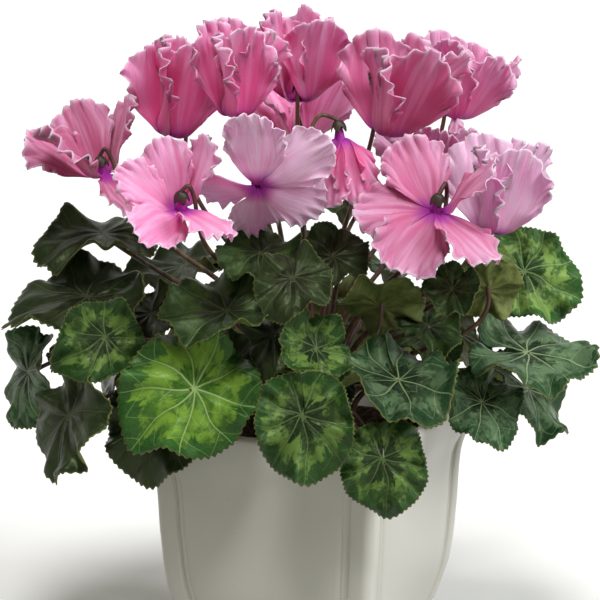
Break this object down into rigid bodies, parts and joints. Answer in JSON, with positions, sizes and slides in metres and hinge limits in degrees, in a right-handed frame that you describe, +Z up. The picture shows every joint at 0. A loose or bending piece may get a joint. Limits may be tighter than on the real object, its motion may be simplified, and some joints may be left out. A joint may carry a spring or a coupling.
{
  "type": "potted cyclamen",
  "caption": "Flowering cyclamen with heart-shaped marbled leaves and frilled pink blooms in a square glazed pot with flared rim.",
  "frame": {"origin": "middle of the pot's flat underside", "axes": "+Z up, with X and Y square to the pot's faces; the plant's fuller side faces -Y"},
  "size_m": [0.3514, 0.2785, 0.3946],
  "materials": {
    "glaze": "gloss",
    "compost": "matte",
    "cork": "matte",
    "leaf_green": "satin",
    "petal_pink": "matte",
    "stem_brown": "satin"
  },
  "bodies": {
    "root": {"pot": "glaze", "soil": "compost", "tuber": "cork", "leaf_01": "leaf_green", "leaf_02": "leaf_green", "leaf_03": "leaf_green", "leaf_04": "leaf_green", "leaf_05": "leaf_green", "leaf_06": "leaf_green", "leaf_07": "leaf_green", "leaf_08": "leaf_green", "leaf_09": "leaf_green", "leaf_10": "leaf_green", "leaf_11": "leaf_green", "leaf_12": "leaf_green", "leaf_13": "leaf_green", "leaf_14": "leaf_green", "leaf_15": "leaf_green", "leaf_16": "leaf_green", "leaf_17": "leaf_green", "leaf_18": "leaf_green", "leaf_19": "leaf_green", "leaf_20": "leaf_green", "leaf_21": "leaf_green", "leaf_22": "leaf_green", "leaf_23": "leaf_green", "leaf_24": "leaf_green", "leaf_25": "leaf_green", "leaf_26": "leaf_green", "leaf_27": "leaf_green", "leaf_28": "leaf_green", "leaf_29": "leaf_green", "leaf_30": "leaf_green", "leaf_31": "leaf_green", "bloom_a": "petal_pink", "bloom_b": "petal_pink", "bloom_c": "petal_pink", "bloom_d": "petal_pink", "bloom_e": "petal_pink", "bloom_f": "petal_pink", "bloom_g": "petal_pink", "bloom_h": "petal_pink", "bloom_i": "petal_pink", "bloom_j": "petal_pink", "bloom_k": "petal_pink", "bloom_l": "petal_pink", "bloom_m": "petal_pink", "stem_a": "stem_brown", "stem_b": "stem_brown", "stem_c": "stem_brown", "stem_d": "stem_brown", "stem_e": "stem_brown", "stem_f": "stem_brown", "stem_g": "stem_brown", "stem_h": "stem_brown", "stem_i": "stem_brown", "stem_j": "stem_brown", "stem_k": "stem_brown", "stem_l": "stem_brown", "stem_m": "stem_brown"}
  },
  "joints": []
}
